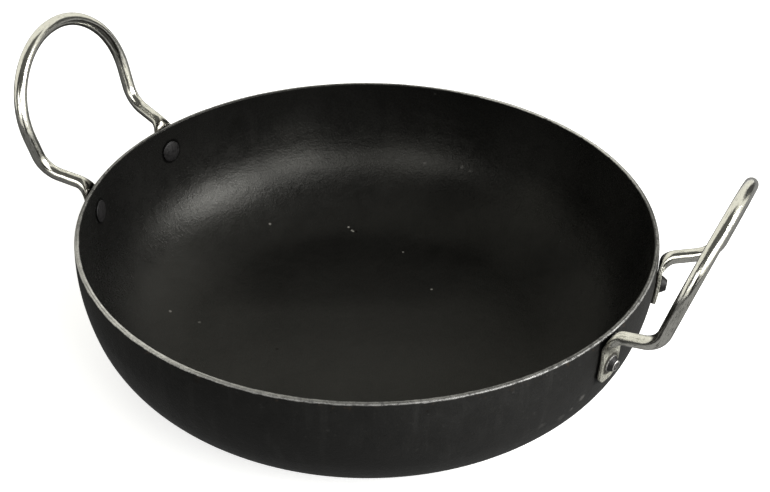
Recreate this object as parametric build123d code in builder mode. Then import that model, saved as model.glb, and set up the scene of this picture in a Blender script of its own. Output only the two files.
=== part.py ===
from build123d import *
from math import asin, atan2, cos, degrees, pi, radians, sin, tan
import os

# A two-handled kadai, a shallow round frying pan, in millimetres.
# The origin is the centre of the flat base, +Z is up, and the handles lie towards +X and -X.

# Bowl, pressed from sheet iron: a flat base, a round, and a side that leans in a little at the rim
rim_diameter = 260.0
bowl_depth = 65.5
wall = 2.2
base_round = 48.0
side_slope = 17.6
rim_lean = 3.6
rim_outer_round = 1.0
rim_inner_round = 0.5

# Rivets, each set square to the wall, with its low head inside and its upset tail outside
rivet_angle = 13.9
rivet_drop = 13.6
rivet_diameter = 5.0
rivet_hole_clearance = 0.05
head_diameter = 10.5
head_edge = 0.5
head_rise = 0.9
tail_base_diameter = 8.0
tail_end_diameter = 4.8
tail_height = 2.8
tail_end_round = 0.6

# Foot tabs, stamped flat out of the ends of the wire, which follow the wall down from their bend
seat_gap = 0.05
foot_width = 12.0
foot_thickness = 2.0
foot_below_rivet = 9.9
foot_edge_round = 0.4
foot_bend_drop = 6.2
foot_bend_radius = 8.0

# Handle wire: two legs out from the wall, a kink in each, and a loop that leans outwards
wire_diameter = 6.0
kink_reach = 23.0
kink_rise = 5.8
kink_radius = 14.0
loop_lean = 17.2
loop_width = 79.8
loop_height = 55.7
shoulder_height_share = 0.586
crown_width_share = 0.415
round_run_share = 0.49

# Sections along the foot's bend, from the round leg to the flat tab
bend_section_count = 7
bend_end_inset = 0.05
round_corner_share = cos(pi / 4)
flat_corner_share = 0.85

rim_radius = rim_diameter / 2
wire_radius = wire_diameter / 2
rivet_radius = rivet_diameter / 2
rivet_hole_radius = rivet_radius + rivet_hole_clearance
cut_overrun = 2 * wall

# The side is one large arc, from the rim down to where it meets the base round
slope = radians(side_slope)
lean = radians(rim_lean)
side_radius = (bowl_depth - base_round * (1 - sin(slope))) / (sin(slope) + sin(lean))
side_centre = Vector(rim_radius - side_radius * cos(lean), bowl_depth - side_radius * sin(lean))
base_radius = side_centre.X + (side_radius - base_round) * cos(slope)
up = Vector(0, 0, 1)


def turned(angle):
    """Direction at this angle, in degrees, from the first axis of a plane."""
    return Vector(cos(radians(angle)), sin(radians(angle)))


def radial_plane(azimuth):
    """Upright plane through the bowl's axis: its X runs outwards and its Y runs up."""
    outwards = Vector(1, 0, 0).rotate(Axis.Z, azimuth)
    return Plane((0, 0, 0), x_dir=outwards, z_dir=outwards.cross(up))


def wall_plane(azimuth, radius, side_angle):
    """Plane square to the wall, this far from the side's centre: its Y runs up and its Z outwards."""
    radial = radial_plane(azimuth)
    origin = radial.from_local_coords(side_centre + turned(side_angle) * radius)
    outwards = radial.from_local_coords(turned(side_angle))
    return Plane(origin, x_dir=up.cross(outwards), z_dir=outwards)


def side_angle_at(drop):
    """Angle about the side's centre, in degrees, of the wall's outside at this drop below the rim."""
    return degrees(asin((bowl_depth - drop - side_centre.Y) / side_radius))


rivet_side_angle = side_angle_at(rivet_drop)
rivet_azimuths = {
    "rivet_right_front": -rivet_angle,
    "rivet_right_back": rivet_angle,
    "rivet_left_front": 180 + rivet_angle,
    "rivet_left_back": 180 - rivet_angle,
}

with BuildPart() as bowl:
    with BuildSketch(Plane.XZ):
        with BuildLine():
            for inset in (0, wall):
                rim_angle = degrees(asin((bowl_depth - side_centre.Y) / (side_radius - inset)))
                Line((0, inset), (base_radius, inset))
                CenterArc((base_radius, base_round), base_round - inset, -90, 90 - side_slope)
                side = CenterArc(side_centre, side_radius - inset, -side_slope, side_slope + rim_angle)
            Line(side @ 1, (rim_radius, bowl_depth))
            Line((0, 0), (0, wall))
        make_face()
    revolve(axis=Axis.Z)
    for place, rim_round in ((-1, rim_outer_round), (0, rim_inner_round)):
        top_edges = bowl.edges().filter_by(GeomType.CIRCLE).group_by(Axis.Z)[-1]
        fillet(top_edges.sort_by(SortBy.RADIUS)[place], rim_round)
    for azimuth in rivet_azimuths.values():
        with Locations(wall_plane(azimuth, side_radius, rivet_side_angle)):
            Hole(rivet_hole_radius, depth=cut_overrun)

# The tab is a strip of even thickness on the wall, with a round lower end and the rivet's hole
leg_plane = radial_plane(rivet_angle)
foot_inner_radius = side_radius + seat_gap
foot_outer_radius = foot_inner_radius + foot_thickness
foot_middle_radius = foot_inner_radius + foot_thickness / 2
foot_top_angle = side_angle_at(foot_bend_drop)
foot_strip_angle = rivet_side_angle - degrees((foot_below_rivet + foot_width) / side_radius)
foot_turn = foot_top_angle - foot_strip_angle
foot_above_rivet = rivet_drop - foot_bend_drop
foot_slot_length = foot_below_rivet + foot_above_rivet + 2 * foot_width

with BuildPart() as foot:
    with BuildSketch(leg_plane):
        with BuildLine():
            inner = CenterArc(side_centre, foot_inner_radius, foot_top_angle, -foot_turn)
            outer = CenterArc(side_centre, foot_outer_radius, foot_top_angle, -foot_turn)
            Line(inner @ 0, outer @ 0)
            Line(inner @ 1, outer @ 1)
        make_face()
    extrude(amount=foot_width / 2, both=True)
    with BuildSketch(wall_plane(rivet_angle, foot_middle_radius, rivet_side_angle)):
        with Locations((0, foot_slot_length / 2 - foot_below_rivet)):
            SlotOverall(foot_slot_length, foot_width, rotation=90)
    extrude(amount=foot_width, both=True, mode=Mode.INTERSECT)
    outer_face = foot.faces().filter_by(GeomType.CYLINDER).sort_by(Axis.X)[-1]
    fillet(outer_face.edges().sort_by(Axis.Z)[:-1], foot_edge_round)
    with Locations(wall_plane(rivet_angle, foot_middle_radius, rivet_side_angle)):
        Hole(rivet_hole_radius, depth=cut_overrun)

# The leg's line is the tangent from the kink to the foot's bend
bend_centre = side_centre + turned(foot_top_angle) * (foot_middle_radius + foot_bend_radius)
kink = Vector(rim_radius + kink_reach, bowl_depth + kink_rise)
kink_way = kink - bend_centre
leg_slope = degrees(atan2(kink_way.Y, kink_way.X) - asin(foot_bend_radius / kink_way.length))
leg_start = bend_centre + turned(90 + leg_slope) * foot_bend_radius
bend_turn = 90 + foot_top_angle - leg_slope

# Corners of the wire's line, from the middle of the crown to the leg
kink_point = leg_plane.from_local_coords(kink)
loop_rise = Vector(sin(radians(loop_lean)), 0, cos(radians(loop_lean)))
loop_side = Vector(0, 1, 0)
loop_foot = Vector(kink_point.X, 0, kink_point.Z)
crown_top = loop_foot + loop_rise * loop_height
crown_corner = crown_top + loop_side * (crown_width_share * loop_width / 2)
other_crown_corner = crown_top - loop_side * (crown_width_share * loop_width / 2)
shoulder_height = shoulder_height_share * loop_height
shoulder_corner = loop_foot + loop_rise * shoulder_height + loop_side * (loop_width / 2)


def corner_radius(before, corner, after):
    """Radius of a round that takes up a set share of the shorter run beside a corner."""
    shorter_run = min((corner - before).length, (after - corner).length)
    turn = (corner - before).get_angle(after - corner)
    return round_run_share * shorter_run / tan(radians(turn / 2))


crown_radius = corner_radius(other_crown_corner, crown_corner, shoulder_corner)
shoulder_radius = corner_radius(crown_corner, shoulder_corner, kink_point)


def bend_outline(flattened):
    """Draws the foot's section: a circle of the wire at 0, and nearly the tab's rectangle at 1."""
    half_width = wire_radius + (foot_width / 2 - bend_end_inset - wire_radius) * flattened
    half_thickness = wire_radius + (foot_thickness / 2 - bend_end_inset - wire_radius) * flattened
    corner_share = round_corner_share + (flat_corner_share - round_corner_share) * flattened
    corner_x = half_width - half_thickness * (1 - corner_share)
    corner_y = half_thickness * corner_share
    ThreePointArc((-corner_x, corner_y), (0, half_thickness), (corner_x, corner_y))
    ThreePointArc((corner_x, corner_y), (half_width, 0), (corner_x, -corner_y))
    ThreePointArc((corner_x, -corner_y), (0, -half_thickness), (-corner_x, -corner_y))
    ThreePointArc((-corner_x, -corner_y), (-half_width, 0), (-corner_x, corner_y))


with BuildPart() as right_handle:
    with BuildLine() as wire_line:
        FilletPolyline(
            crown_top,
            crown_corner,
            shoulder_corner,
            kink_point,
            leg_plane.from_local_coords(leg_start),
            radius=(crown_radius, shoulder_radius, kink_radius),
        )
    with BuildSketch(Plane(wire_line.line @ 0, z_dir=wire_line.line % 0)):
        Circle(wire_radius)
    sweep()
    for section in range(bend_section_count):
        travel = section / (bend_section_count - 1)
        bend_angle = 90 + leg_slope + bend_turn * travel
        origin = leg_plane.from_local_coords(bend_centre + turned(bend_angle) * foot_bend_radius)
        along = leg_plane.from_local_coords(turned(bend_angle + 90))
        with BuildSketch(Plane(origin, x_dir=leg_plane.z_dir, z_dir=along)):
            with BuildLine():
                bend_outline(travel * travel * (3 - 2 * travel))
            make_face()
    loft()
    add(foot.part)
    mirror(about=Plane.XZ)

with BuildPart() as left_handle:
    add(right_handle.part, rotation=(0, 0, 180))

# A rivet's half section, with heights from the wall's outside, along its own axis
head_lift = (head_diameter / 2) ** 2 / (2 * (side_radius - wall)) + seat_gap
head_seat = -wall - head_lift
head_top = head_seat - head_edge - head_rise
dome_radius = ((head_diameter / 2) ** 2 + head_rise**2) / (2 * head_rise)
tail_seat = foot_outer_radius - side_radius + seat_gap
tail_top = tail_seat + tail_height

rivets = {}
for name, azimuth in rivet_azimuths.items():
    seat = wall_plane(azimuth, side_radius, rivet_side_angle)
    with BuildPart() as rivet:
        with BuildSketch(Plane(seat.origin, x_dir=seat.x_dir, z_dir=-seat.y_dir)):
            with BuildLine():
                Polyline(
                    (head_diameter / 2, head_seat - head_edge),
                    (head_diameter / 2, head_seat),
                    (rivet_radius, head_seat),
                    (rivet_radius, tail_seat),
                    (tail_base_diameter / 2, tail_seat),
                    (tail_end_diameter / 2, tail_top),
                    (0, tail_top),
                    (0, head_top),
                )
                RadiusArc((0, head_top), (head_diameter / 2, head_seat - head_edge), dome_radius)
            make_face()
        revolve(axis=Axis(seat.origin, seat.z_dir))
        fillet(rivet.edges().sort_by(Axis(seat.origin, seat.z_dir))[-1], tail_end_round)
    rivets[name] = rivet

bowl.part.label = "bowl"
right_handle.part.label = "right_handle"
left_handle.part.label = "left_handle"

os.makedirs("parts", exist_ok=True)
export_step(bowl.part, "parts/bowl.step")
export_step(right_handle.part, "parts/right_handle.step")
export_step(left_handle.part, "parts/left_handle.step")
for name, rivet in rivets.items():
    rivet.part.label = name
    export_step(rivet.part, f"parts/{name}.step")
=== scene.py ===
from functools import cached_property, partial
from math import asin, atan2, cos, pi, radians, sin, sqrt, tan

import bpy
import numpy as np
from bpy.props import FloatProperty, FloatVectorProperty, IntProperty, PointerProperty
from mathutils import Matrix, Vector


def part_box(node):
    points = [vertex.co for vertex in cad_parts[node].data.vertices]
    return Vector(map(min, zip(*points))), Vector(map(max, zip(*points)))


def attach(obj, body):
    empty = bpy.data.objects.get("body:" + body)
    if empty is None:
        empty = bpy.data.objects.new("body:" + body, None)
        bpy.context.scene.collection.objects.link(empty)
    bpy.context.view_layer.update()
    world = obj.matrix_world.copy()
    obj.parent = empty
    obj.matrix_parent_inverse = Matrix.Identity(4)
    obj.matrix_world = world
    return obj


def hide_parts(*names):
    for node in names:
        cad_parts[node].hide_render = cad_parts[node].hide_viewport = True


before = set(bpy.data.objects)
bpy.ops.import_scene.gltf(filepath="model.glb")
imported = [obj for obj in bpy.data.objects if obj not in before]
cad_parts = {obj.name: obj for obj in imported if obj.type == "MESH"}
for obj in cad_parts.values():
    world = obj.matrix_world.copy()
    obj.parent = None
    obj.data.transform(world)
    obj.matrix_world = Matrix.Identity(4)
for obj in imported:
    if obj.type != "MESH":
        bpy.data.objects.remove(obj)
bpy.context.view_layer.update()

bl_info = {
    "name": "Kadai",
    "version": (1, 0, 0),
    "blender": (4, 5, 0),
    "location": "3D View > Sidebar > Kadai",
    "description": "Dresses a two-handled kadai: pressed iron bowl, bent wire handles, rivets and studio",
    "category": "Object",
}

UP = Vector((0, 0, 1))


def setting(kind, name, description, default, **options):
    """A value that a user can change, of one kind of property."""
    return kind(name=name, description=description, default=default, **options)


def angle(name, description, default):
    """An angle, given in degrees."""
    return setting(FloatProperty, name, description, radians(default), unit="ROTATION", subtype="ANGLE")


# A size in metres, a number between nothing and all, a linear colour and a whole number of mesh steps
length = partial(setting, FloatProperty, unit="LENGTH", precision=5)
share = partial(setting, FloatProperty, min=0, max=1, subtype="FACTOR")
colour = partial(setting, FloatVectorProperty, size=3, min=0, max=1, subtype="COLOR")
count = partial(setting, IntProperty, min=3)


class KadaiBowl(bpy.types.PropertyGroup):
    """Sizes and colours of the pressed bowl."""

    rim_diameter: length("Rim diameter", "Outside width of the mouth", 0.260)
    depth: length("Depth", "Height of the rim above the underside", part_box("bowl")[1].z)
    wall: length("Wall", "Thickness of the sheet", 0.0022)
    base_round: length("Base round", "Radius between the flat base and the side", 0.048)
    side_slope: angle("Side slope", "Turn of the side's arc below its widest point", 17.6)
    rim_lean: angle("Rim lean", "Inward lean of the side at the rim", 3.6)
    outer_round: length("Outer rim round", "Radius of the rim's outer edge", 0.001)
    inner_round: length("Inner rim round", "Radius of the rim's inner edge", 0.0005)
    ground_band: length("Ground band", "How far the bare metal reaches down outside", 0.0007)
    dark_lip: length("Dark lip", "How far the black coat reaches over the rim's top from inside", 0.0005)
    groove: length("Groove", "Distance of the fine groove and the nicks from the rim's outer edge", 0.0009)
    filing: length("Filing", "Depth of the unevenness of the rim's ground top", 0.00007)
    ripple: length("Ripple", "Depth of the press marks in the side", 0.00010)
    around: count("Steps around", "Mesh steps around the bowl", 900)
    coat: colour("Black coat", "Baked and oiled black surface inside", (0.0190, 0.0187, 0.0173))
    lustre: share("Lustre", "How much of the inside's black is metallic scale", 0.70)
    coat_outside: colour("Outside coat", "Dull black surface outside", (0.0115, 0.0114, 0.0109))
    bare: colour("Bare iron", "Ground metal of the rim", (0.335, 0.332, 0.322))
    dust: colour("Dust", "Pale specks and rub marks", (0.30, 0.29, 0.27))
    soot: colour("Soot", "Dark brownish specks", (0.0060, 0.0042, 0.0030))
    rust: colour("Rust", "Brown flecks where the coat ends under the rim", (0.038, 0.026, 0.017))


class KadaiHandle(bpy.types.PropertyGroup):
    """Sizes and colours of the wire handles."""

    wire: length("Wire", "Diameter of the handle's wire", 0.006)
    kink_reach: length("Kink reach", "Distance of the kink outside the rim", 0.0230)
    kink_rise: length("Kink rise", "Height of the kink above the rim", 0.0058)
    kink_radius: length("Kink radius", "Radius of the bend between leg and loop", 0.014)
    loop_lean: angle("Loop lean", "Outward lean of the loop", 17.2)
    loop_width: length("Loop width", "Width of the loop's line at its shoulders", 0.0798)
    loop_height: length("Loop height", "Height of the loop's line above its kinks", 0.05569)
    shoulder_height: share("Shoulder height", "Height of the shoulders in loop heights", 0.586)
    crown_width: share("Crown width", "Width of the crown in loop widths", 0.415)
    round_run: share("Round run", "Share of a run that its corner's round takes up", 0.49)
    foot_width: length("Foot width", "Width of the flattened foot", 0.012)
    foot_thickness: length("Foot thickness", "Thickness of the flattened foot", 0.002)
    foot_below: length("Foot below rivet", "Distance from the rivet to the foot's lower end", 0.0099)
    foot_gap: length("Foot gap", "Space between the foot and the wall", 0.00005)
    dish: length("Dish", "Depth of the foot's dished face", 0.00014)
    bend_drop: length("Bend drop", "Distance below the rim at which the foot turns out", 0.0062)
    bend_radius: length("Bend radius", "Radius of the foot's bend", 0.008)
    around: count("Steps around", "Mesh steps around the wire", 96)
    steel: colour("Polished steel", "Polished surface of the wire", (0.80, 0.79, 0.73))
    draw_marks: colour("Draw marks", "Dull lines along the wire", (0.11, 0.105, 0.092))
    stamped: colour("Stamped steel", "Dull pitted surface of the feet", (0.78, 0.77, 0.68))
    # This colour also paints the shade between the feet and the wall and under the bends
    grime_and_shade: colour("Grime", "Dark film in the pits", (0.055, 0.05, 0.04))


class KadaiRivet(bpy.types.PropertyGroup):
    """Sizes and colours of the rivets."""

    angle: angle("Rivet angle", "Turn of each rivet from the handle's middle", 13.9)
    drop: length("Rivet drop", "Distance of the rivets below the rim", 0.0136)
    shank: length("Shank", "Diameter of the rivet's shank", 0.005)
    head_diameter: length("Head diameter", "Width of the low head inside", 0.0105)
    head_edge: length("Head edge", "Thickness of the head at its edge", 0.0005)
    head_rise: length("Head rise", "Rise of the head's dome", 0.0009)
    tail_base: length("Tail base", "Width of the upset tail at the foot", 0.008)
    tail_end: length("Tail end", "Width of the upset tail at its end", 0.0048)
    tail_height: length("Tail height", "Height of the upset tail", 0.0028)
    around: count("Steps around", "Mesh steps around a rivet", 72)
    iron: colour("Rivet iron", "Dark scale on the rivets", (0.0095, 0.0090, 0.0091))
    worn: colour("Worn iron", "Edges rubbed bright", (0.52, 0.51, 0.49))


class KadaiStage(bpy.types.PropertyGroup):
    """Studio and camera."""

    floor_colour: colour("Floor", "Pale floor", (0.82, 0.82, 0.81))
    floor_glow: share("Floor glow", "How brightly the floor shows of itself behind the kadai", 0.68)
    ceiling_colour: colour("Ceiling light", "Warm light from above", (1.0, 0.965, 0.85))
    walls_colour: colour("Walls", "Cream walls that the metal reflects", (0.95, 0.94, 0.85))
    walls_light: share("Walls' light", "Strength of the light that the walls give", 0.40)
    eye: setting(
        FloatVectorProperty, "Camera", "Where the camera stands", (0.2866, -0.5721, 0.4813),
        size=3, unit="LENGTH", subtype="TRANSLATION",
    )
    aim: setting(
        FloatVectorProperty, "Aim", "Direction that the camera looks in", (-0.3627, 0.7470, -0.5573),
        size=3, subtype="DIRECTION",
    )
    roll: angle("Roll", "Turn of the camera about its aim", 0.60)
    lens: setting(FloatProperty, "Lens", "Focal length on a sensor 36 mm wide", 79.6, unit="CAMERA")


SETTINGS = {
    "kadai_bowl": KadaiBowl,
    "kadai_handle": KadaiHandle,
    "kadai_rivet": KadaiRivet,
    "kadai_stage": KadaiStage,
}


def math_node(operation, reflected=False):
    """A method by which a signal and another value go through a Math node."""

    def method(self, other):
        values = (other, self) if reflected else (self, other)
        return self.finish.add("ShaderNodeMath", {"operation": operation}, dict(enumerate(values)))

    return method


class Signal:
    """A number or colour in a material. Each operator used on it adds the Math node for it."""

    def __init__(self, finish, socket):
        self.finish = finish
        self.socket = socket

    __add__, __radd__ = math_node("ADD"), math_node("ADD", reflected=True)
    __sub__, __rsub__ = math_node("SUBTRACT"), math_node("SUBTRACT", reflected=True)
    __mul__, __rmul__ = math_node("MULTIPLY"), math_node("MULTIPLY", reflected=True)
    __pow__ = math_node("POWER")

    # The larger of the two
    most = math_node("MAXIMUM")

    def hypot(self, other):
        """Length of the slant between the two, taken as square to each other."""
        return (self * self + other * other) ** 0.5

    def sway(self, width):
        """A noise set about zero, this wide from its lowest to its highest."""
        return (self - 0.5) * width

    def between(self, low, high):
        """Stretches a value of 0 to 1 to run from low to high."""
        return self * (high - low) + low

    def output(self, name):
        """Another output of the node that this signal comes from."""
        return Signal(self.finish, self.socket.node.outputs[name])


class Finish:
    """Builds the nodes of one material or of the world."""

    def __init__(self, owner):
        owner.use_nodes = True
        self.owner = owner
        self.tree = owner.node_tree
        self.tree.nodes.clear()

    def add(self, kind, settings=None, values=None, output=0):
        """Adds a node with its settings, then links or sets its sockets, and returns one output."""
        node = self.tree.nodes.new(kind)
        for name, value in (settings or {}).items():
            setattr(node, name, value)
        for name, value in (values or {}).items():
            if isinstance(value, Signal):
                self.tree.links.new(value.socket, node.inputs[name])
            else:
                node.inputs[name].default_value = value
        return Signal(self, node.outputs[output] if node.outputs else None)

    @cached_property
    def place(self):
        """Place on the object, in metres."""
        return self.add("ShaderNodeTexCoord", output="Object")

    @cached_property
    def quarter(self):
        """The same place in the first quadrant, because the handles' feet repeat in all four."""
        return self.add("ShaderNodeVectorMath", {"operation": "ABSOLUTE"}, {0: self.place})

    def mark(self, name, kind="Fac"):
        """A number, or a vector, that is stored in the mesh."""
        return self.add("ShaderNodeAttribute", {"attribute_name": name}, None, kind)

    def parts(self, vector):
        """The three numbers of a vector."""
        split = self.add("ShaderNodeSeparateXYZ", None, {"Vector": vector})
        return split, split.output("Y"), split.output("Z")

    def join(self, x, y, z):
        """A vector of three numbers."""
        return self.add("ShaderNodeCombineXYZ", None, {"X": x, "Y": y, "Z": z})

    def stretch(self, vector, factors):
        """A vector with each number multiplied by its own factor."""
        return self.add("ShaderNodeVectorMath", {"operation": "MULTIPLY"}, {0: vector, 1: factors})

    def noise(self, grain, detail, roughness=0.55, distortion=0.0, vector=None):
        """Soft cloudy noise whose grain is this many metres, by place or by another vector."""
        place = {"Vector": vector or self.place, "Scale": 1 / grain}
        kind = {"Detail": detail, "Roughness": roughness, "Distortion": distortion}
        return self.add("ShaderNodeTexNoise", None, {**place, **kind})

    def rise(self, value, low, high):
        """0 below low, 1 above high and smooth between them, or the other way round."""
        values = {"Value": value, "From Min": low, "From Max": high}
        return self.add("ShaderNodeMapRange", {"interpolation_type": "SMOOTHSTEP"}, values)

    def patch(self, point, uneven, outer, inner, vector=None):
        """1 nearer to a point than inner and 0 beyond outer, with an uneven edge."""
        values = {0: vector or self.place, 1: tuple(point)}
        far = self.add("ShaderNodeVectorMath", {"operation": "DISTANCE"}, values, "Value")
        return self.rise(far + uneven, outer, inner)

    def blend(self, factor, first, second):
        """Mixes two colours."""
        values = {0: factor, 6: opaque(first), 7: opaque(second)}
        return self.add("ShaderNodeMix", {"data_type": "RGBA"}, values, 2)

    def shade(self, tint, factor):
        """Multiplies a colour by a number."""
        return self.add("ShaderNodeVectorMath", {"operation": "SCALE"}, {0: tuple(tint), "Scale": factor})

    def relief(self, *layers):
        """Normal of a surface with layers of relief, each a height and how many metres deep it is."""
        under = {}
        for height, depth in layers:
            normal = self.add("ShaderNodeBump", None, {"Height": height, "Distance": depth, **under})
            under = {"Normal": normal}
        return normal

    def surface(self, shader, kind="ShaderNodeOutputMaterial"):
        """Ends the material, or the world, with this shader."""
        self.add(kind, None, {"Surface": shader})
        return self.owner

    def principled(self, **values):
        """Ends the material with the surface shader. Underscores stand for spaces in its sockets' names."""
        named = {name.replace("_", " "): value for name, value in values.items()}
        return self.surface(self.add("ShaderNodeBsdfPrincipled", None, named))


def opaque(value):
    """A colour with its fourth number, or a signal as it is."""
    return value if isinstance(value, Signal) else (*value, 1.0)


def new_finish(name):
    """An empty material to build."""
    return Finish(bpy.data.materials.new(name))


def millimetres(*values):
    """Metres from millimetres."""
    return tuple(value / 1000 for value in values)


def fade(values, low, high):
    """0 below low, 1 above high and smooth between them, or the other way round, in numbers."""
    values = np.clip((values - low) / (high - low), 0, 1)
    return values * values * (3 - 2 * values)


def arc(centre, radius, start, end, steps):
    """Points of an arc in a section, without its first point."""
    angles = np.linspace(start, end, steps + 1)[1:]
    return np.column_stack((centre[0] + radius * np.cos(angles), centre[1] + radius * np.sin(angles)))


def line(start, end, steps):
    """Points of a straight line, without its first point."""
    return np.linspace(start, end, steps + 1)[1:]


def tube_faces(rings, around):
    """Four-sided faces between closed rings of points."""
    ring, step = np.meshgrid(np.arange(rings - 1), np.arange(around), indexing="ij")
    after = (step + 1) % around
    near, far = ring * around, (ring + 1) * around
    return np.stack((near + step, near + after, far + after, far + step), -1).reshape(-1, 4).tolist()


def cap_faces(first, around, middle, backwards=False):
    """Three-sided faces from a ring to the point in its middle."""
    corners = [(first + step, first + (step + 1) % around, middle) for step in range(around)]
    return [corner[::-1] for corner in corners] if backwards else corners


def store_mark(mesh, label, values):
    """Stores a number or a vector at each point of the rings, and their means at the two ends."""
    kind, key = ("FLOAT_VECTOR", "vector") if values.ndim == 3 else ("FLOAT", "value")
    spread = np.concatenate((values.reshape(-1, *values.shape[2:]), values[[0, -1]].mean(1)))
    mesh.attributes.new(label, kind, "POINT").data.foreach_set(key, spread.astype(np.float32).ravel())


def add_mesh(name, points, faces, finish):
    """A new mesh object in the scene."""
    mesh = bpy.data.meshes.new(name)
    mesh.from_pydata(points, [], faces)
    mesh.materials.append(finish)
    thing = bpy.data.objects.new(name, mesh)
    bpy.context.scene.collection.objects.link(thing)
    return thing


def make_piece(name, rings, ends, finish, node, marks):
    """A closed tube of rings with a point at each end, riding on the body in place of a CAD node."""
    rows, around = rings.shape[:2]
    points = np.concatenate((rings.reshape(-1, 3), np.array(ends)))
    faces = tube_faces(rows, around)
    faces += cap_faces(0, around, rows * around, backwards=True)
    faces += cap_faces((rows - 1) * around, around, rows * around + 1)
    piece = add_mesh(name, points.tolist(), faces, finish)
    for label, values in marks.items():
        store_mark(piece.data, label, values)
    piece.data.validate()
    piece.data.shade_smooth()
    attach(piece, "root")
    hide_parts(node)


def turned(turn):
    """Direction in a section at this angle above level."""
    return Vector((cos(turn), sin(turn)))


def radial(azimuth):
    """Level direction outwards at this angle about the bowl's axis."""
    return Vector((cos(azimuth), sin(azimuth), 0))


class BowlShape:
    """Section of the bowl, and places on its side, from its driving sizes."""

    def __init__(self, sizes):
        self.sizes = sizes
        self.rim_radius = sizes.rim_diameter / 2
        lift = sin(sizes.side_slope)
        straight = sizes.depth - sizes.base_round * (1 - lift)
        self.radius = straight / (lift + sin(sizes.rim_lean))
        centre_x = self.rim_radius - self.radius * cos(sizes.rim_lean)
        self.centre = Vector((centre_x, sizes.depth - self.radius * sin(sizes.rim_lean)))
        self.base_radius = centre_x + (self.radius - sizes.base_round) * cos(sizes.side_slope)

    def side_angle(self, drop):
        """Angle about the side's centre of its outside at this drop below the rim."""
        return asin((self.sizes.depth - drop - self.centre.y) / self.radius)

    def section(self):
        """Radius and height from the underside, over the rim, to the floor inside, and which are outside."""
        s, centre, radius = self.sizes, self.centre, self.radius
        base = (self.base_radius, s.base_round)
        outer_run, inner_run = radius - s.outer_round, radius - s.wall + s.inner_round
        outer_turn = asin((s.depth - s.outer_round - centre.y) / outer_run)
        inner_turn = asin((s.depth - s.inner_round - centre.y) / inner_run)
        outer_round = centre + turned(outer_turn) * outer_run
        inner_round = centre + turned(inner_turn) * inner_run
        smallest = 0.002
        outside = np.concatenate((
            [(smallest, 0.0)],
            line((smallest, 0.0), (self.base_radius, 0.0), steps=12),
            arc(base, s.base_round, -pi / 2, -s.side_slope, steps=34),
            arc(centre, radius, -s.side_slope, outer_turn, steps=30),
            arc(outer_round, s.outer_round, outer_turn, pi / 2, steps=8),
            line((outer_round.x, s.depth), (inner_round.x, s.depth), steps=4),
        ))
        inside = np.concatenate((
            arc(inner_round, s.inner_round, pi / 2, pi + inner_turn, steps=6),
            arc(centre, radius - s.wall, inner_turn, -s.side_slope, steps=30),
            arc(base, s.base_round - s.wall, -s.side_slope, -pi / 2, steps=34),
            line((self.base_radius, s.wall), (smallest, s.wall), steps=20),
        ))
        return np.concatenate((outside, inside)), np.repeat((1.0, 0.0), (len(outside), len(inside)))


class WallSeat:
    """A place square to the wall: its across runs level, its rise up the wall and its out outwards."""

    def __init__(self, shape, azimuth, drop):
        outwards, side_angle = radial(azimuth), shape.side_angle(drop)
        place = shape.centre + turned(side_angle) * shape.radius
        self.origin = outwards * place.x + UP * place.y
        self.out = outwards * cos(side_angle) + UP * sin(side_angle)
        self.across = UP.cross(self.out).normalized()
        self.rise = self.out.cross(self.across)

    def spot(self, rise, out):
        """The place this far up the wall and this far off it."""
        return self.origin + self.rise * rise + self.out * out

    def points(self, local):
        """Places in the frame of points given as across, rise and out."""
        axes = np.array((self.across, self.rise, self.out))
        return np.array(self.origin) + local @ axes


# Waves around the bowl, in its pressed side and in the rim's ground top: how many go around, how far each
# is turned by a metre of height, in radians, its phase and its part in the whole
PRESS_WAVES = ((3, 0, 0.7, 1.0), (7, -90, 2.1, 0.7), (13, 140, 0.0, 0.5), (23, -60, 0.4, 0.4))
FILING_WAVES = ((11, 0, 1.0, 0.28), (29, 0, 0.3, 0.22))

# Nicks in the ground rim: angle about the bowl's axis in degrees, half width and depth
NICKS = (
    (-1.5, 0.0016, 0.00020),
    (-24.6, 0.0016, 0.00015),
    (20.5, 0.0014, 0.00015),
    (73.4, 0.0020, 0.00025),
    (103.0, 0.0014, 0.00015),
    (154.0, 0.0015, 0.00020),
)


def unevenness(waves, azimuth, height):
    """Sum of the waves, from 0 to 1."""
    total = sum(part * np.sin(times * azimuth + lean * height + phase) for times, lean, phase, part in waves)
    return 0.5 + total / (2 * sum(part for *_, part in waves))


def bowl_rings(shape):
    """Rings of points from the underside, over the rim, to the floor inside, and which are outside."""
    sizes, rim_radius = shape.sizes, shape.rim_radius
    section, outside = shape.section()
    azimuth = np.linspace(0, 2 * pi, sizes.around, endpoint=False)[None, :]
    reach = np.repeat(section[:, :1], sizes.around, 1)
    height = np.repeat(section[:, 1:], sizes.around, 1)
    on_side = fade(height, 0, 0.02) * fade(reach, 0.06, 0.09)
    reach = reach - sizes.ripple * on_side * unevenness(PRESS_WAVES, azimuth, height)
    at_top = fade(height, sizes.depth - 0.003, sizes.depth)
    height = height - at_top * sizes.filing * unevenness(FILING_WAVES, azimuth, 0)
    outward = fade(reach, rim_radius - sizes.wall, rim_radius)
    for degrees_round, half_width, depth in NICKS:
        offset = np.angle(np.exp(1j * (azimuth - radians(degrees_round)))) * rim_radius
        dip = np.clip(1 - (offset / half_width) ** 2, 0, 1) ** 1.5
        height = height - depth * dip * at_top * outward
    rings = np.stack((reach * np.cos(azimuth), reach * np.sin(azimuth), height), -1)
    return rings, np.repeat(outside[:, None], sizes.around, 1)


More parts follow.
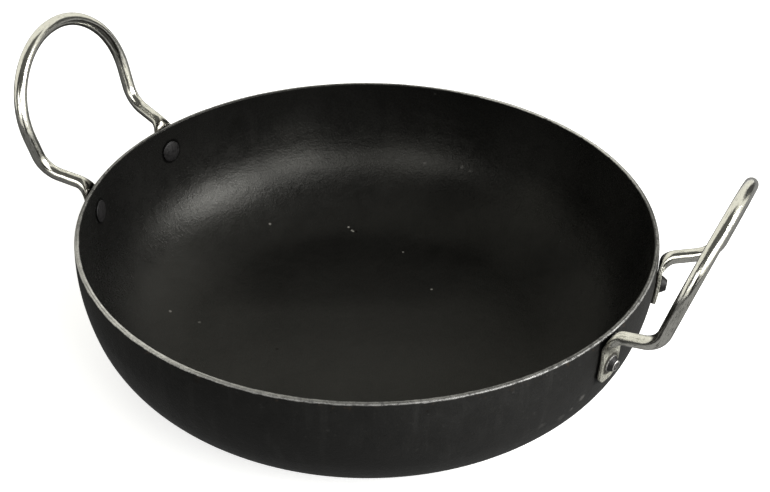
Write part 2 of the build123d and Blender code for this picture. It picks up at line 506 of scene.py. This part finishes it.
# Marks on the black coat by their colour, each placed in millimetres, with its half size in millimetres
# and its strength
SPECKS = {
    "dust": (
        ((-83.4, 55.5, 6.7), 0.85, 0.75),
        ((-14.7, 69.3, 2.2), 0.7, 1.0),
        ((11.7, 46.5, 2.2), 0.8, 0.9),
        ((-90.0, -29.0, 4.5), 1.0, 0.45),
        ((-74.8, -27.7, 2.2), 0.9, 0.35),
        ((-48.8, 75.7, 3.3), 0.8, 1.0),
        ((-46.2, 74.4, 2.8), 0.8, 0.9),
        ((-45.3, 74.1, 2.7), 0.7, 1.0),
        ((120.3, -41.6, 37.7), 2.2, 0.12),
        ((118.0, -46.0, 33.5), 1.6, 0.09),
        ((115.5, -50.5, 31.0), 3.0, 0.05),
        ((111.0, -61.0, 33.0), 2.4, 0.04),
        ((-25.7, 117.4, 25.5), 1.0, 0.09),
        ((-6.2, 120.7, 26.7), 1.3, 0.08),
        ((-1.5, 120.4, 25.8), 1.1, 0.08),
        ((-24.7, 125.5, 62.5), 0.8, 0.16),
    ),
    "soot": (
        ((-31.9, -29.3, 2.2), 1.0, 0.8),
        ((-47.4, 75.1, 3.0), 0.7, 0.9),
        ((-43.9, 74.6, 2.7), 0.9, 0.8),
        ((-10.3, -129.7, 61.9), 1.4, 0.6),
        ((78.0, -103.5, 60.8), 1.1, 0.6),
    ),
}

# Broad soft patches inside, partly the coat's uneven tone and partly painted highlight and painted dark
# reflection that widen and shape the lamps' reflections, each placed in millimetres, with its half size and
# how much paler it is, or darker where that is below zero
SHEEN_AND_TONE_PATCHES = (
    ((-90.0, -18.0, 4.0), 50.0, 0.55),
    ((-60.0, -60.0, 4.0), 45.0, 0.15),
    ((127.0, 25.0, 54.0), 48.0, 0.90),
    ((88.0, 98.0, 56.0), 46.0, 0.75),
    ((36.0, 124.0, 50.0), 38.0, 0.85),
    ((-86.0, 91.0, 38.0), 22.0, 0.50),
    ((-34.0, 109.0, 17.0), 26.0, 0.35),
    ((-126.0, -26.0, 46.0), 34.0, -0.30),
    ((62.0, 93.0, 14.0), 40.0, -0.42),
)


def bowl_finish(sizes, shape, handle, rivet):
    """Black baked coat with smears, specks, painted shade and some dirt around the fittings and a bare ground
    rim.
    """
    finish = new_finish("blackened_iron")
    rise, noise, patch = finish.rise, finish.noise, finish.patch
    across, along, height = finish.parts(finish.place)
    reach = across.hypot(along)
    grit, waver, broad = noise(0.0011, 4.0, 0.7), noise(0.004, 4.0, 0.65), noise(0.03, 2.0)
    clouds, smudges = noise(0.045, 4.0, 0.6), noise(0.013, 4.0, 0.6, 1.2)

    # Grinding and spinning leave fine lines that run around the bowl
    grinding = noise(0.0005, 3.0, 0.65, vector=finish.join(across * 0.03, along * 0.03, reach + height * 0.6))
    spun = noise(0.0065, 2.0, 0.5, vector=finish.join(across * 0.12, along * 0.12, height))

    # The rim is darker, with a wider dark lip and more black blots, at the front right, the back left and both
    # ends
    darker_rim = rise((across - along) * 0.7, 0.05, 0.125).most(rise(across, 0.09, 0.114))
    darker_rim = darker_rim.most(rise(along * 0.6 - across * 0.8, 0.07, 0.11))
    darker_rim = darker_rim.most(rise(across, -0.102, -0.118) * 0.95)

    # It is bare on top and a little way down outside, with uneven edges, black blots and nicks
    edge = sizes.depth - sizes.ground_band + waver.sway(0.0012) + broad.sway(0.0008)
    above = rise(height - edge, -0.00015, 0.00025)
    lip = shape.rim_radius - sizes.wall + sizes.dark_lip * (0.1 + darker_rim * 0.9)
    past_lip = reach - lip + waver.sway(0.0012) + broad.sway(0.0006)
    blots = rise(noise(0.0022, 3.0, 0.65), 0.50, 0.62)
    bare = above * rise(past_lip, -0.0002, 0.0003) * (1 - blots * (0.06 + darker_rim * 0.65))
    groove_radius = shape.rim_radius - sizes.groove
    for degrees_round, half_width, _ in NICKS:
        point = radial(radians(degrees_round)) * groove_radius + UP * sizes.depth
        bare = bare * patch(point, grit.sway(0.0030), half_width * 0.3, half_width).between(0.3, 1.0)

    # The bare metal is ground unevenly, with a fine groove in places
    mottle, rubbed = noise(0.006, 4.0, 0.7), rise(grit, 0.28, 0.72)
    off_groove = reach - groove_radius + broad.sway(0.0006)
    groove = rise(off_groove * off_groove, 6e-8, 1e-8) * rise(broad, 0.42, 0.58)
    ground = (0.10 + grinding * 0.65 + mottle * 0.6 + rubbed * 0.55) * (1.76 - darker_rim * 1.06)
    # Painted shade darkens the ground rim at its two ends, left and right as the camera sees them
    slant = across * 0.78 + along * 0.63
    ground = ground * (1 - rise(slant * slant, 0.0154, 0.0165) * 0.27)
    bare_colour = finish.shade(sizes.bare, ground * (1 - groove * 0.55))

    # Painted shade, with some dirt, darkens the coat around the rivets' heads, and around the feet from their
    # bends to their ends
    seat, quarter = WallSeat(shape, rivet.angle, rivet.drop), finish.quarter
    head, foot = rivet.head_diameter, handle.foot_width
    head_shade = patch(seat.spot(0, -sizes.wall), waver.sway(0.0012), head * 0.64, head * 0.53, quarter)
    grime_and_shade = head_shade
    for level in (0.0095, 0.005, 0.0005, foot / 2 - handle.foot_below):
        foot_shade = patch(seat.spot(level, 0), waver.sway(0.0010), foot * 0.64, foot * 0.56, quarter)
        grime_and_shade = grime_and_shade.most(foot_shade)

    # The inside is smudged, paler or darker in patches that are partly painted highlight and painted dark
    # reflection, darker across the middle of the floor and paler towards its front, with painted shade and
    # some dirt around the heads
    tone = 0.40 + clouds * 0.54 + smudges * 0.54 + grit * 0.12
    for point, half_size, paler in SHEEN_AND_TONE_PATCHES:
        soft = patch(millimetres(*point), clouds.sway(0.02), half_size / 1000, half_size / 4000)
        tone = tone + soft * paler
    # The floor is darker in a band across its middle and paler towards its front
    backwards = along * 0.9 - across * 0.45 + clouds.sway(0.02)
    floor_darker = rise(backwards, 0.012, 0.036) * rise(backwards, 0.088, 0.064) * rise(height, 0.024, 0.005)
    floor_darker = floor_darker * rise(across, -0.085, -0.055) * rise(across, 0.048, 0.004)
    floor_paler = rise(backwards, 0.010, -0.035) * rise(height, 0.030, 0.008)
    coat = finish.shade(sizes.coat, tone * (1 - floor_darker * 0.38 + floor_paler * 0.26) * (1 - head_shade * 0.75))

    # The outside has upright smears and crust and flecks of rust under the rim; painted light and shade make
    # it paler to the right and near the rim, and darker low on the left
    smeared = rise(noise(0.0055, 4.0, 0.6, vector=finish.stretch(finish.place, (1.0, 1.0, 0.10))), 0.50, 0.76)
    crust = rise(noise(0.0024, 3.0, 0.6), 0.62, 0.80)
    left, right = rise(across, 0.0, -0.055), rise(across, 0.03, 0.10)
    painted_left_shade = left * (rise(height, 0.046, 0.062) * 0.5 - rise(height, 0.044, 0.020) * 0.38)
    painted_side_light = rise(across + height * 0.3, 0.01, 0.14).between(0.63, 1.12)
    painted_side_light = painted_side_light * (1 + painted_left_shade + right * rise(height, 0.032, 0.018) * 0.3)
    tone = (0.38 + smeared * 0.42 + smudges * 0.6 + grit * 0.6 + crust * 1.2) * painted_side_light
    outer_coat = finish.shade(sizes.coat_outside, tone * (1 - grime_and_shade * 0.9))
    under_rim = rise(height, sizes.depth - 0.0042, sizes.depth - 0.0016)
    flecks = rise(noise(0.0030, 4.0, 0.7), 0.56, 0.68) * under_rim

    outward = finish.mark("outside")
    black = finish.blend(outward, coat, finish.blend(flecks * 0.6, outer_coat, sizes.rust))
    for tint, specks in SPECKS.items():
        for point, half_size, strength in specks:
            speck = patch(millimetres(*point), grit.sway(half_size / 1500), half_size / 1000, half_size / 2500)
            black = finish.blend(speck * strength, black, getattr(sizes, tint))
    roughness = 0.28 + rise(height, 0.018, 0.004) * 0.17 + outward * 0.20
    roughness = roughness + grit.sway(0.30) + clouds.sway(0.08) + smudges.sway(0.14)
    return finish.principled(
        Base_Color=finish.blend(bare, black, bare_colour),
        Metallic=bare + (1 - bare) * (1 - outward) * sizes.lustre,
        Roughness=roughness + bare * (grinding.between(0.40, 0.64) - roughness),
        Specular_IOR_Level=0.10,
        Normal=finish.relief(
            (grit, 0.00015), (spun, 0.00012), (noise(0.006, 2.0), 0.00016), (grinding * bare, 0.00012)
        ),
    )


class KADAI_OT_press_bowl(bpy.types.Operator):
    """Press the black iron bowl with its ground rim"""

    bl_idname = "kadai.press_bowl"
    bl_label = "Press bowl"

    def execute(self, context):
        scene = context.scene
        shape = BowlShape(scene.kadai_bowl)
        rings, outside = bowl_rings(shape)
        ends = ((0, 0, 0), (0, 0, scene.kadai_bowl.wall))
        finish = bowl_finish(scene.kadai_bowl, shape, scene.kadai_handle, scene.kadai_rivet)
        make_piece("bowl_shell", rings, ends, finish, "bowl", {"outside": outside})
        return {"FINISHED"}


def run(start, end, spacing, fewest=2):
    """Points of a straight run in even steps of about this length, without its first point."""
    steps = max(fewest, round((end - start).length / spacing))
    return [start.lerp(end, step / steps) for step in range(1, steps + 1)]


def rounded_run(corners, radii, spacing):
    """Points of a line through corners, each rounded by its own radius."""
    points = [corners[0]]
    for before, corner, after, radius in zip(corners, corners[1:], corners[2:], radii):
        way_in, way_out = (corner - before).normalized(), (after - corner).normalized()
        turn = way_in.angle(way_out)
        start = corner - way_in * radius * tan(turn / 2)
        sideways = (way_out - way_in * way_in.dot(way_out)).normalized()
        points += run(points[-1], start, spacing)
        steps = max(6, round(radius * turn / spacing))
        for step in range(1, steps + 1):
            angle_on = turn * step / steps
            points.append(start + way_in * radius * sin(angle_on) + sideways * radius * (1 - cos(angle_on)))
    return points + run(points[-1], corners[-1], spacing)


def corner_radius(before, corner, after, round_run):
    """Radius of a round that takes up a set share of the shorter run beside a corner."""
    shorter = min((corner - before).length, (after - corner).length)
    turn = (corner - before).angle(after - corner)
    return round_run * shorter / tan(turn / 2)


def foot_outline(sizes):
    """Points around the flattened foot's section: dished outside, with rounder edges there."""
    half, thick = sizes.foot_width / 2, sizes.foot_thickness / 2
    outer, inner = 0.00055, 0.00025
    border, slope = 0.0009, 0.0008
    # Each edge: which side it is on, which face, its radius and the mesh steps of the run before it
    rounds = ((1, 1, outer, 3), (-1, 1, outer, 26), (-1, -1, inner, 6), (1, -1, inner, 26))
    points = [(half, 0)]
    for turn, (side, face, radius, steps) in enumerate(rounds):
        centre, start = (side * (half - radius), face * (thick - radius)), turn * pi / 2
        first = (centre[0] + radius * cos(start), centre[1] + radius * sin(start))
        points += [*line(points[-1], first, steps), *arc(centre, radius, start, start + pi / 2, steps=8)]
    points = np.array([*points[1:], *line(points[-1], (half, 0), steps=3)])
    dished = fade(np.abs(points[:, 0]), half - border, half - border - slope) * (points[:, 1] > 0)
    points[:, 1] -= dished * sizes.dish
    return points


def handle_line(sizes, shape, rivet):
    """Stations of half the handle from its crown to its foot, and the middle of the foot's end.

    A station is a point, how flat the wire is there, and how wide and thick its outline is."""
    spacing, bend_steps, wall_steps, tip_steps = 0.0009, 26, 20, 18
    tip_turn, thinning = radians(86), 0.35
    middle_radius = shape.radius + sizes.foot_gap + sizes.foot_thickness / 2
    top_angle = shape.side_angle(sizes.bend_drop)

    def upright(point):
        return radial(rivet.angle) * point[0] + UP * point[1]

    def on_wall(turn):
        return upright(shape.centre + turned(turn) * middle_radius)

    bend_centre = shape.centre + turned(top_angle) * (middle_radius + sizes.bend_radius)
    kink = Vector((shape.rim_radius + sizes.kink_reach, shape.sizes.depth + sizes.kink_rise))
    way = kink - bend_centre
    leg_slope = atan2(way.y, way.x) - asin(sizes.bend_radius / way.length)
    leg_start = bend_centre + turned(pi / 2 + leg_slope) * sizes.bend_radius
    bend_turn = pi / 2 + top_angle - leg_slope

    kink_point = upright(kink)
    rise = Vector((sin(sizes.loop_lean), 0, cos(sizes.loop_lean)))
    loop_foot = Vector((kink_point.x, 0, kink_point.z))
    crown = loop_foot + rise * sizes.loop_height
    side = Vector((0, sizes.loop_width / 2, 0))
    crown_corner, opposite = crown + side * sizes.crown_width, crown - side * sizes.crown_width
    shoulder = loop_foot + rise * sizes.loop_height * sizes.shoulder_height + side
    radii = (
        corner_radius(opposite, crown_corner, shoulder, sizes.round_run),
        corner_radius(crown_corner, shoulder, kink_point, sizes.round_run),
        sizes.kink_radius,
    )
    corners = (crown, crown_corner, shoulder, kink_point, upright(leg_start))
    stations = [(point, 0.0, 1.0, 1.0) for point in rounded_run(corners, radii, spacing)]

    for step in range(1, bend_steps + 1):
        travel = step / bend_steps
        point = bend_centre + turned(pi / 2 + leg_slope + bend_turn * travel) * sizes.bend_radius
        stations.append((upright(point), fade(travel, 0, 1), 1.0, 1.0))

    half = sizes.foot_width / 2
    end_angle = shape.side_angle(rivet.drop) - asin(sizes.foot_below / middle_radius)
    round_angle = end_angle + half / middle_radius
    for step in range(1, wall_steps + 1):
        point = on_wall(top_angle + (round_angle - top_angle) * step / wall_steps)
        stations.append((point, 1.0, 1.0, 1.0))
    for step in range(1, tip_steps + 1):
        tip = step / tip_steps * tip_turn
        thin = 1 - thinning * max(0, sin(tip) - 0.9) / 0.1
        stations.append((on_wall(round_angle - half * sin(tip) / middle_radius), 1.0, cos(tip), thin))
    return stations, on_wall(end_angle)


def handle_rings(sizes, shape, rivet):
    """Rings of points of the whole handle towards +X, its two ends, and its marks."""
    stations, end = handle_line(sizes, shape, rivet)
    points = [station[0] for station in stations]
    turns = -2 * pi * np.arange(sizes.around) / sizes.around
    wire = sizes.wire / 2 * np.column_stack((np.cos(turns), np.sin(turns)))
    foot = foot_outline(sizes)[::-1]
    across = UP.cross(radial(rivet.angle))
    rings = []
    for index in reversed(range(len(stations))):
        point, flat, width, thick = stations[index]
        before, after = points[max(index - 1, 0)], points[min(index + 1, len(points) - 1)]
        along = (after - before).normalized() if index else Vector((0, 1, 0))
        across = (across - along * across.dot(along)).normalized()
        outline = (wire * (1 - flat) + foot * flat) * (width, thick)
        rings.append(np.array(point) + outline @ np.array((across, across.cross(along))))
    rings = np.array(rings[::-1])
    rings = np.concatenate((rings[:0:-1] * (1, -1, 1), rings))
    ends = np.array((end, end)) * ((1, -1, 1), (1, 1, 1))
    flats = np.array([station[1] for station in stations])
    stamped = np.repeat(np.concatenate((flats[:0:-1], flats))[:, None], sizes.around, 1)
    travel = np.cumsum(np.linalg.norm(np.diff(rings[:, 0], axis=0, prepend=rings[:1, 0]), axis=1))
    lengthwise = np.repeat(travel[:, None, None], sizes.around, 1)
    drawn = np.concatenate((np.repeat(wire[None], len(rings), 0), lengthwise), -1)
    return rings, ends, {"stamped": stamped, "drawn": drawn}


def wire_finish(sizes, shape, rivet):
    """Polished drawn wire, dull, pitted and grimy where it is stamped flat, with painted shade along the wall
    and under the bends, and a painted dark reflection along its edges.
    """
    finish = new_finish("polished_wire")
    rise, noise, patch = finish.rise, finish.noise, finish.patch
    across, along, height = finish.parts(finish.place)
    drawn = finish.mark("drawn", "Vector")
    lines = noise(0.0005, 3.0, 0.7, vector=finish.stretch(drawn, (1.0, 1.0, 0.11)))
    smears = noise(0.0030, 4.0, 0.7, vector=finish.stretch(drawn, (1.0, 1.0, 0.25)))
    swell = noise(0.010, 2.0)
    fine = noise(0.0016, 4.0, 0.6)
    crumbs = noise(0.0005, 4.0, 0.7)
    scattered = {"Vector": finish.place, "Scale": 1 / 0.0010}
    pits = rise(finish.add("ShaderNodeTexVoronoi", {"feature": "F1"}, scattered), 0.42, 0.1)
    pocked = rise(noise(0.0011, 3.0, 0.6), 0.54, 0.64)

    # Draw marks and a thin uneven tarnish on the round wire, and a painted dark reflection along the edges
    # that turn away from view, all less where hands hold the crown
    held = rise(height + smears.sway(0.01), 0.110, 0.122)
    scored = rise(lines, 0.54, 0.65)
    tarnish = rise(smears, 0.44, 0.74)
    speckle = rise(crumbs, 0.50, 0.72)
    turned_away = finish.add("ShaderNodeLayerWeight", None, {"Blend": 0.5}, "Facing")
    edges = rise(turned_away + smears.sway(0.3), 0.48, 0.85)
    tarnish_and_edge_shade = (tarnish * 0.20 + speckle * 0.22 + edges * 0.50) * (1 - held * 0.7)
    marked = (scored * 0.72).most(speckle * tarnish * 0.9) * (1 - held * 0.5)
    steel = finish.blend(marked, finish.shade(sizes.steel, 1.0 - tarnish_and_edge_shade), sizes.draw_marks)
    polish = 0.09 + tarnish * 0.09 + scored * 0.08 + speckle * 0.08

    # Pitted metal on the feet, with a dark film around each rivet and painted shade under each bend
    seat, quarter = WallSeat(shape, rivet.angle, rivet.drop), finish.quarter
    at_rivet, under_bend = seat.spot(0, sizes.foot_thickness), seat.spot(0.0085, 0.002)
    film = patch(at_rivet, fine.sway(0.0022), 0.0064, 0.0047, quarter)
    film = film.most(patch(under_bend, fine.sway(0.0040), 0.0056, 0.0026, quarter) * 0.75)
    crumbled = tuple(part * 0.66 for part in sizes.stamped)
    pitted = finish.blend(rise(crumbs, 0.35, 0.7), sizes.stamped, crumbled)
    pitted = finish.blend((pits * 0.8).most(film * 0.9).most(pocked * 0.62), pitted, sizes.grime_and_shade)
    dull = rise(finish.mark("stamped") + fine.sway(0.35), 0.45, 0.9)

    # Painted shade between each foot and the wall, and where each bend meets the rim,
    # less at the back foot on the right
    from_centre = (across.hypot(along) - shape.centre.x).hypot(height - shape.centre.y)
    off_wall = from_centre - shape.radius + fine.sway(0.0006)
    less_shade_back_right = rise(across, 0.0, 0.05) * rise(along, 0.0, 0.02) * 0.7
    tucked_shade = rise(off_wall, 0.0045, 0.0025) * rise(height, 0.0585, 0.0625) * (1 - less_shade_back_right)
    tucked_shade = tucked_shade.most(rise(off_wall, 0.0012, 0.0007))

    return finish.principled(
        Base_Color=finish.blend(tucked_shade * 0.9, finish.blend(dull, steel, pitted), sizes.grime_and_shade),
        Metallic=1.0,
        Roughness=polish + dull * (0.46 + crumbs * 0.14 - polish),
        Normal=finish.relief(
            (swell, 0.00012),
            (lines * 0.5 + crumbs * 0.5, 0.00006),
            (crumbs * dull - (pits + pocked) * dull * 1.6, 0.00018),
        ),
    )


class KADAI_OT_bend_handles(bpy.types.Operator):
    """Bend the two wire handles with their flattened feet"""

    bl_idname = "kadai.bend_handles"
    bl_label = "Bend handles"

    def execute(self, context):
        sizes, rivet = context.scene.kadai_handle, context.scene.kadai_rivet
        shape = BowlShape(context.scene.kadai_bowl)
        rings, ends, marks = handle_rings(sizes, shape, rivet)
        finish = wire_finish(sizes, shape, rivet)
        for name, node, side in (("handle_right", "right_handle", 1), ("handle_left", "left_handle", -1)):
            about = (side, side, 1)
            make_piece(name, rings * about, ends * about, finish, node, marks)
        return {"FINISHED"}


# Each rivet's end of the kadai, which way it is turned from there, and how worn its tail is
RIVETS = {
    "right_front": (0, -1, 1.0),
    "right_back": (0, 1, 0.5),
    "left_front": (pi, 1, 0.8),
    "left_back": (pi, -1, 0.7),
}


def softened(corners, rounding, steps=4):
    """A half section whose corners are cut round, the first and last left as they are."""
    points = [corners[0]]
    for before, corner, after in zip(corners, corners[1:], corners[2:]):
        start = corner + (before - corner).normalized() * min(rounding, (before - corner).length * 0.45)
        end = corner + (after - corner).normalized() * min(rounding, (after - corner).length * 0.45)
        for way in (step / steps for step in range(steps + 1)):
            points.append(start * (1 - way) ** 2 + corner * 2 * way * (1 - way) + end * way**2)
    return [*points, corners[-1]]


def divided(points, longest):
    """The same line with points added in its long runs, about this far apart."""
    result = [points[0]]
    for before, after in zip(points, points[1:]):
        result += run(before, after, longest, fewest=1)
    return result


def tail_wear(point, base_edge, end_edge):
    """How much a point is rubbed bright: all at the tail's end edge, less at its base and on its end."""
    near_end, near_base, on_end = 0.00045, 0.00035, 0.00005
    if (point - end_edge).length < near_end:
        return 1.0
    if (point - base_edge).length < near_base:
        return 0.78
    return 0.62 if point.y > end_edge.y - on_end else 0.0


def rivet_section(sizes, shape, handle):
    """Radius and height of a rivet from near the middle of its head to near the middle of its tail, its
    wear, and the heights of both middles."""
    head, shank, dome_steps = sizes.head_diameter / 2, sizes.shank / 2, 12
    lift = head**2 / (2 * (shape.radius - shape.sizes.wall)) + handle.foot_gap
    seat = -shape.sizes.wall - lift
    top = seat - sizes.head_edge - sizes.head_rise
    dome = (head**2 + sizes.head_rise**2) / (2 * sizes.head_rise)
    tail_seat = handle.foot_gap * 2 + handle.foot_thickness
    tail_top = tail_seat + sizes.tail_height
    outs = [head * step / dome_steps for step in range(1, dome_steps + 1)]
    domed = [Vector((out, top + dome - sqrt(dome**2 - out**2))) for out in outs]
    base_edge = Vector((sizes.tail_base / 2 - 0.00008, tail_seat + 0.0004))
    end_edge = Vector((sizes.tail_end / 2, tail_top))
    shaft = ((head, seat), (shank, seat), (shank, tail_seat), (sizes.tail_base / 2, tail_seat))
    corners = [*domed[-2:], *map(Vector, shaft), base_edge, end_edge, Vector((0.0004, tail_top))]
    section = domed[:-1] + divided(softened(corners, rounding=0.00022)[1:], longest=0.0003)
    wear = [tail_wear(point, base_edge, end_edge) for point in section]
    return np.array([tuple(point) for point in section]), np.array(wear), top, tail_top


def rivet_points(seat, section, ends, around, tilt):
    """Rings of points of one rivet set in the wall, with a slightly uneven head and tail."""
    turns = 2 * pi * np.arange(around) / around
    oval, lumps = 1 + np.sin(2 * turns + tilt), 1 + np.sin(5 * turns - tilt)
    reach = section[:, :1] * (1 - 0.012 * oval - 0.006 * lumps)
    height = np.repeat(section[:, 1:], around, 1)
    rings = np.stack((reach * np.cos(turns), reach * np.sin(turns), height), -1)
    return seat.points(rings), seat.points(np.array(ends))


def rivet_finish(sizes):
    """Dark scaly iron, rubbed bright on the tail's edges."""
    finish = new_finish("rivet_iron")
    scale = finish.noise(0.0012, 4.0, 0.65)
    bright = finish.rise(finish.mark("worn") * 0.95 + scale.sway(0.9), 0.55, 1.0)
    dark = finish.shade(sizes.iron, finish.rise(scale, 0.30, 0.70) * 1.3 + 0.35)
    return finish.principled(
        Base_Color=finish.blend(bright, dark, sizes.worn),
        Metallic=bright,
        Roughness=0.46 + scale.sway(0.3) - bright * 0.12,
        Specular_IOR_Level=0.2,
        Normal=finish.relief((scale, 0.00022)),
    )


class KADAI_OT_set_rivets(bpy.types.Operator):
    """Set the four rivets through the wall and the feet"""

    bl_idname = "kadai.set_rivets"
    bl_label = "Set rivets"

    def execute(self, context):
        scene = context.scene
        sizes, shape = scene.kadai_rivet, BowlShape(scene.kadai_bowl)
        section, wear, top, tail_top = rivet_section(sizes, shape, scene.kadai_handle)
        wear = np.repeat(wear[:, None], sizes.around, 1)
        ends = ((0, 0, top), (0, 0, tail_top))
        finish = rivet_finish(sizes)
        for tilt, (place, (end, way, worn)) in enumerate(RIVETS.items()):
            seat = WallSeat(shape, end + way * sizes.angle, sizes.drop)
            rings, tips = rivet_points(seat, section, ends, sizes.around, tilt)
            name, marks = "rivet_iron_" + place, {"worn": wear * worn}
            make_piece(name, rings, tips, finish, "rivet_" + place, marks)
        return {"FINISHED"}


# Soft lamps: width and height, radiance, and direction in degrees around and up
LAMP_DISTANCE = 1.1
LAMPS = {
    "window": ((0.38, 0.42), 23.0, (17, 29)),
    "window_side": ((0.45, 0.50), 6.6, (-8, 26)),
    "side": ((0.45, 0.50), 5.6, (-36, 30)),
    "front": ((0.60, 0.45), 2.3, (-90, 25)),
}

# Cards that face the bowl: width and height, colour, direction in degrees around and up, and distance
CARDS = {
    "card_overhead": ((1.5, 1.5), (0.11, 0.11, 0.10), (-45, 72), 1.1),
    "card_back_right": ((0.40, 0.70), (0.08, 0.08, 0.077), (60, 14), 0.85),
    "card_front_right": ((0.80, 0.8), (0.025, 0.025, 0.024), (-58, 6), 1.5),
    "card_front_left": ((0.75, 2.0), (0.05, 0.05, 0.048), (-122, 33), 1.5),
}

# Cards that lie on the floor: width and length, colour, degrees around, distance and height
FLOOR_CARDS = {
    "card_table": ((0.9, 1.3), (0.045, 0.045, 0.043), -58, 0.95, 0.001),
    "card_shade": ((0.60, 0.90), (0.15, 0.15, 0.148), -130, 0.45, 0.0008),
    "card_corner": ((0.20, 0.26), (0.035, 0.035, 0.034), 158, 0.24, 0.001),
    "card_ground": ((3.0, 3.0), (0.30, 0.30, 0.295), 0, 0, 0.0005),
}


def background_rays(finish):
    """1 for rays that look at the background: straight, in a reflection or through something."""
    path = finish.add("ShaderNodeLightPath", output="Is Camera Ray")
    return path.most(path.output("Is Glossy Ray")).most(path.output("Is Transmission Ray"))


def place_facing(item, around, up, distance):
    """Puts a lamp or a card in this direction from the bowl, in degrees, facing it."""
    way = radial(radians(around)) * cos(radians(up)) + UP * sin(radians(up))
    item.location = Vector((0, 0, 0.04)) + way * distance
    item.rotation_euler = way.to_track_quat("Z", "Y").to_euler()


def lamp(name, size, radiance):
    """A soft box of even radiance."""
    data = bpy.data.lights.new(name, "AREA")
    data.shape = "RECTANGLE"
    data.size, data.size_y = size
    data.energy = radiance * size[0] * size[1] * pi
    box = bpy.data.objects.new(name, data)
    box.visible_camera = False
    bpy.context.scene.collection.objects.link(box)
    return box


def stage_sheet(name, size, finish, height=0.0):
    """A flat sheet that belongs to the stage."""
    corners = [(x * size[0] / 2, y * size[1] / 2, height) for x, y in ((-1, -1), (1, -1), (1, 1), (-1, 1))]
    sheet = add_mesh(name, corners, [(0, 1, 2, 3)], finish)
    return sheet


def card(name, size, level):
    """A large card of even tone, which only shows as a reflection in the metal."""
    finish = new_finish(name)
    glow = finish.add("ShaderNodeEmission", None, {"Color": opaque(level)})
    board = stage_sheet(name, size, finish.surface(glow))
    for rays in ("camera", "diffuse", "transmission", "volume_scatter", "shadow"):
        setattr(board, "visible_" + rays, False)
    return board


def lay_floor(stage):
    """A pale floor, just under the bowl, which shows brightly and keeps its shadows."""
    finish = new_finish("stage_floor")
    lit = finish.add("ShaderNodeBsdfDiffuse", None, {"Color": opaque(stage.floor_colour)})
    glow = finish.add("ShaderNodeEmission", None, {"Strength": background_rays(finish) * stage.floor_glow})
    both = finish.add("ShaderNodeAddShader", None, {0: lit, 1: glow})
    stage_sheet("stage_floor", (12.0, 12.0), finish.surface(both), -0.00002)


def paint_walls(scene, stage):
    """Cream walls all round, white where the camera sees them."""
    scene.world = bpy.data.worlds.new("studio")
    sky = Finish(scene.world)
    seen = sky.blend(sky.add("ShaderNodeLightPath", output="Is Camera Ray"), stage.walls_colour, (1, 1, 1))
    level = background_rays(sky).between(stage.walls_light, 1.0)
    shell = sky.add("ShaderNodeBackground", None, {"Color": seen, "Strength": level})
    sky.surface(shell, "ShaderNodeOutputWorld")


def stand_camera(scene, stage):
    """The camera at the photograph's viewing angle."""
    data = bpy.data.cameras.new("camera")
    data.sensor_fit = "HORIZONTAL"
    data.sensor_width = 36.0
    data.lens = stage.lens
    data.clip_start = 0.01
    camera = bpy.data.objects.new("camera", data)
    aim = Vector(stage.aim).normalized()
    level_right = aim.cross(UP).normalized()
    upwards = level_right.cross(aim)
    right = level_right * cos(stage.roll) + upwards * sin(stage.roll)
    above = upwards * cos(stage.roll) - level_right * sin(stage.roll)
    turn = Matrix((right, above, -aim)).transposed()
    camera.matrix_world = Matrix.Translation(stage.eye) @ turn.to_4x4()
    scene.collection.objects.link(camera)
    scene.camera = camera


class KADAI_OT_light_stage(bpy.types.Operator):
    """Lay the pale floor, hang the soft lamps and set up the camera"""

    bl_idname = "kadai.light_stage"
    bl_label = "Light stage"

    def execute(self, context):
        scene = context.scene
        stage = scene.kadai_stage
        scene.view_settings.view_transform = "Standard"
        lay_floor(stage)
        paint_walls(scene, stage)
        for name, (size, radiance, way) in LAMPS.items():
            place_facing(lamp(name, size, radiance), *way, LAMP_DISTANCE)
        ceiling = lamp("ceiling", (1.5, 1.5), 0.5)
        ceiling.data.color = stage.ceiling_colour
        ceiling.visible_glossy = False
        place_facing(ceiling, 124, 80, 1.6)
        for name, (size, level, way, distance) in CARDS.items():
            place_facing(card(name, size, level), *way, distance)
        for name, (size, level, around, distance, height) in FLOOR_CARDS.items():
            board = card(name, size, level)
            board.location = radial(radians(around)) * distance + UP * height
            board.rotation_euler.z = radians(around)
        stand_camera(scene, stage)
        return {"FINISHED"}


class KADAI_PT_sidebar(bpy.types.Panel):
    """Lists the pieces' operators and their settings"""

    bl_idname = "KADAI_PT_sidebar"
    bl_label = "Kadai"
    bl_space_type = "VIEW_3D"
    bl_region_type = "UI"
    bl_category = "Kadai"

    def draw(self, context):
        for operator in OPERATORS:
            self.layout.operator(operator.bl_idname)
        for name, settings in SETTINGS.items():
            box = self.layout.box()
            box.label(text=settings.__doc__)
            for key in settings.__annotations__:
                box.prop(getattr(context.scene, name), key)


OPERATORS = (KADAI_OT_press_bowl, KADAI_OT_bend_handles, KADAI_OT_set_rivets, KADAI_OT_light_stage)


def register():
    for each in (*SETTINGS.values(), *OPERATORS, KADAI_PT_sidebar):
        bpy.utils.register_class(each)
    for name, settings in SETTINGS.items():
        setattr(bpy.types.Scene, name, PointerProperty(type=settings))


def unregister():
    for name in SETTINGS:
        delattr(bpy.types.Scene, name)
    for each in (KADAI_PT_sidebar, *reversed(OPERATORS), *SETTINGS.values()):
        bpy.utils.unregister_class(each)


def main():
    """Builds every piece and the stage."""
    register()
    bpy.ops.kadai.press_bowl()
    bpy.ops.kadai.bend_handles()
    bpy.ops.kadai.set_rivets()
    bpy.ops.kadai.light_stage()


if __name__ == "__main__":
    main()
